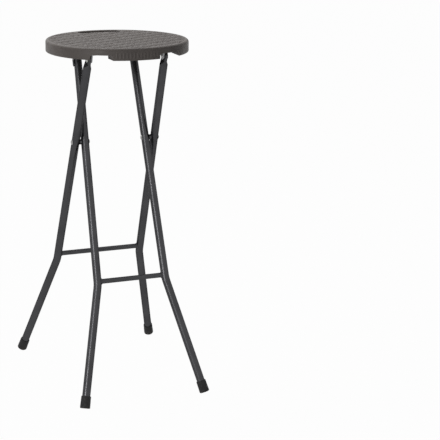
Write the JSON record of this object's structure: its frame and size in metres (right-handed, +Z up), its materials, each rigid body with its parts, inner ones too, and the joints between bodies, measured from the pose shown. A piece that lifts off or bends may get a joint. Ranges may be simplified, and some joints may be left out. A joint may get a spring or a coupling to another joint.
{
  "type": "folding bar stool",
  "caption": "Folding bar stool: a round moulded plastic seat with a carry slot on two crossed, bent steel-tube leg frames that fold flat as the seat tips up.",
  "frame": {"origin": "on the floor under the middle of the open stool's footprint", "axes": "+Z up along the stool's height, -Y to the stool's front, where the narrow frame's feet stand, +X to the right of someone who faces the front, across the legs"},
  "size_m": [0.3498, 0.456, 0.786],
  "materials": {
    "seat_plastic": "grey-brown moulded plastic, basket-weave grain on top and satin rim",
    "frame_paint": "dark grey powder coat, low sheen",
    "foot_rubber": "near-black moulded rubber",
    "bracket_steel": "zinc-plated pressed steel",
    "fastener_steel": "zinc-plated rivets and screws",
    "black_plastic": "black moulded plastic",
    "washer_plastic": "natural nylon"
  },
  "bodies": {
    "rear_frame": {"rear_leg_left": "frame_paint", "rear_leg_right": "frame_paint", "rear_crossbar": "frame_paint", "rear_foot_cap_left": "foot_rubber", "rear_foot_cap_right": "foot_rubber", "pivot_rivet_left": "fastener_steel", "pivot_rivet_right": "fastener_steel", "pivot_spacer_left": "frame_paint", "pivot_spacer_right": "frame_paint"},
    "front_frame": {"front_leg_left": "frame_paint", "front_leg_right": "frame_paint", "front_crossbar": "frame_paint", "top_cross_tube": "frame_paint", "front_foot_cap_left": "foot_rubber", "front_foot_cap_right": "foot_rubber", "leg_plug_left": "black_plastic", "leg_plug_right": "black_plastic", "lock_rivet": "fastener_steel"},
    "seat": {"seat_shell": "seat_plastic", "hinge_bracket_left": "bracket_steel", "hinge_bracket_right": "bracket_steel", "hinge_rivet_left": "fastener_steel", "hinge_rivet_right": "fastener_steel", "hinge_washers": "washer_plastic", "bracket_screws": "fastener_steel", "saddle_clip_left": "black_plastic", "saddle_clip_right": "black_plastic", "clip_screws": "fastener_steel", "lock_bracket": "bracket_steel", "lock_bracket_screws": "fastener_steel"},
    "lock_lever": {"lock_lever": "frame_paint"}
  },
  "joints": [
    {"name": "frame_fold", "type": "hinge", "parent": "rear_frame", "child": "front_frame", "pos_m": [0, -0.0187, 0.5565], "axis": [1, 0, 0], "range_deg": [0, 40.2]},
    {"name": "seat_fold", "type": "hinge", "parent": "rear_frame", "child": "seat", "pos_m": [0, -0.10314, 0.7535], "axis": [1, 0, 0], "range_deg": [0, 113.3]},
    {"name": "lock_swing", "type": "hinge", "parent": "front_frame", "child": "lock_lever", "pos_m": [0, 0.04522, 0.734], "axis": [1, 0, 0], "range_deg": [0, 20]}
  ],
  "couplings": [
    {"joint": "seat_fold", "follows": "frame_fold", "ratio": 2.8159}
  ]
}
